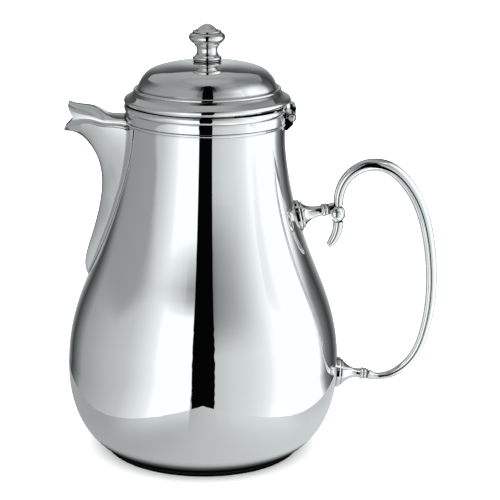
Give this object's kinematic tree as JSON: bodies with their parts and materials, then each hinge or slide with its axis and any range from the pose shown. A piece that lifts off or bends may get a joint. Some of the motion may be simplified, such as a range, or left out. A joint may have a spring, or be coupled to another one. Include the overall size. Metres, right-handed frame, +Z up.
{
  "type": "coffee pot",
  "caption": "Pear-shaped metal coffee pot with a beak spout, a looped handle on two insulated sockets and a hinged domed lid with a turned knob.",
  "frame": {"origin": "centre of the foot ring's underside, on the body's axis of turning", "axes": "+Z up along the body's axis, +X towards the handle and the lid hinge, -X towards the spout, +Y completes the right hand; y = 0 is the plane of symmetry"},
  "size_m": [0.1986, 0.145, 0.229],
  "materials": {
    "silver_body": "mirror-polished silver plate",
    "silver_fittings": "polished silver plate on cast brass",
    "silver_lid": "mirror-polished silver plate",
    "insulator": "dark turned nylon",
    "steel_pin": "bright drawn steel",
    "brass_nut": "turned brass, lightly tarnished"
  },
  "bodies": {
    "pot": {"body": "silver_body", "foot_ring": "silver_body", "rim_ring": "silver_body", "neck_band": "silver_body", "neck_wire": "silver_body", "spout": "silver_body", "upper_escutcheon": "silver_fittings", "lower_escutcheon": "silver_fittings", "upper_socket": "silver_fittings", "lower_socket": "silver_fittings", "upper_insulator": "insulator", "lower_insulator": "insulator", "upper_handle_pin": "steel_pin", "lower_handle_pin": "steel_pin", "handle_arch": "silver_fittings", "handle_ball": "silver_fittings", "handle_curl": "silver_fittings", "body_hinge_leaf": "silver_fittings", "hinge_pin": "steel_pin"},
    "lid": {"lid_dome": "silver_lid", "lid_bead": "silver_lid", "lid_bezel": "silver_lid", "lid_hinge_leaf": "silver_fittings", "finial": "silver_fittings", "finial_washer": "brass_nut", "finial_nut": "brass_nut"}
  },
  "joints": [
    {"name": "lid_hinge", "type": "hinge", "parent": "pot", "child": "lid", "pos_m": [0.0446, 0, 0.1818], "axis": [0, 1, 0], "range_deg": [0, 105]}
  ]
}
